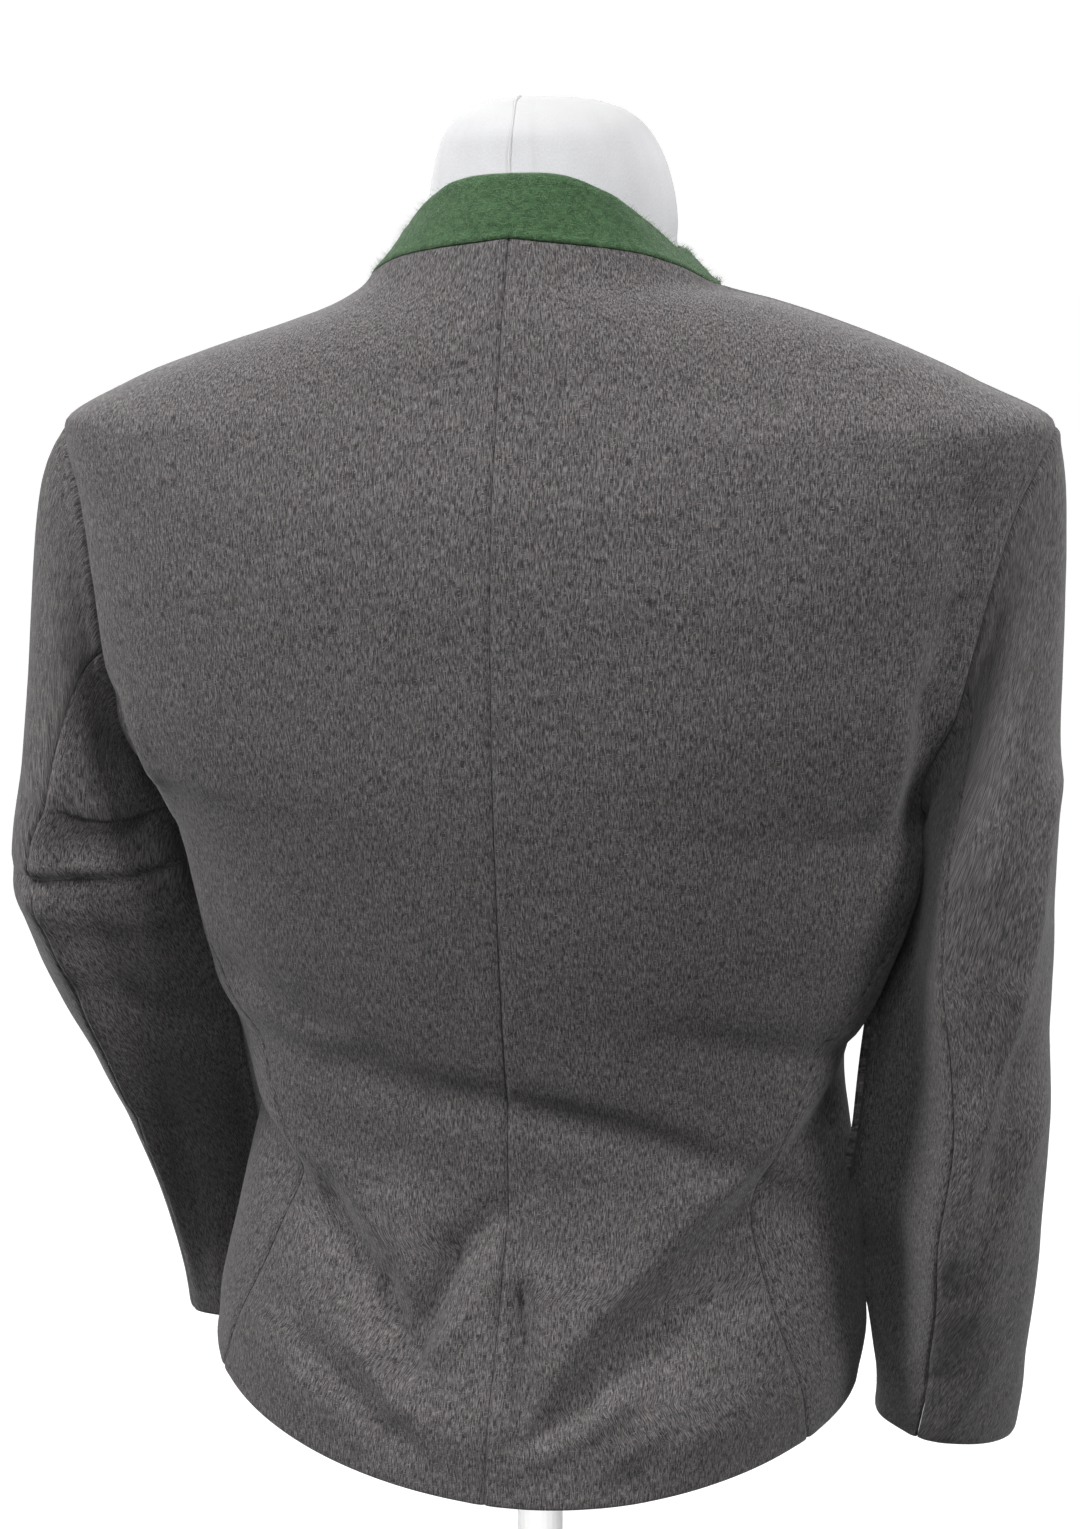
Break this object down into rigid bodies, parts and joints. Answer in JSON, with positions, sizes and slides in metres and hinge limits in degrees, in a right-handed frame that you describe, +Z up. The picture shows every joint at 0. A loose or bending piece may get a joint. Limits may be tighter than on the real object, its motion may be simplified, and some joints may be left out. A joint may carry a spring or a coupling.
{
  "type": "tyrolean loden jacket on a limbless dress form",
  "caption": "Short fitted grey loden jacket with a green stand collar, panelled back and two-piece sleeves, worn by a table-top dress form on a pole and round base.",
  "frame": {"origin": "centre of the stand base's flat underside, on the surface it stands on", "axes": "+Z up; the wearer faces -Y, so the jacket's back faces +Y; +X is the wearer's left"},
  "size_m": [0.5436, 0.2657, 0.912],
  "materials": {
    "grey_loden": "fulled grey melange wool, soft and matt",
    "green_felt": "green wool felt, short nap",
    "horn": "polished brown horn, mottled",
    "white_jersey": "white stretch jersey, fine knit",
    "white_enamel": "white enamelled steel"
  },
  "bodies": {
    "root": {"back_left": "grey_loden", "back_right": "grey_loden", "side_left": "grey_loden", "side_right": "grey_loden", "front_left": "grey_loden", "front_right": "grey_loden", "sleeve_top_left": "grey_loden", "sleeve_top_right": "grey_loden", "sleeve_under_left": "grey_loden", "sleeve_under_right": "grey_loden", "collar": "green_felt", "button_1": "horn", "button_2": "horn", "button_3": "horn", "button_4": "horn", "button_5": "horn", "dress_form": "white_jersey", "stand_base": "white_enamel", "stand_pole": "white_enamel"}
  },
  "joints": []
}
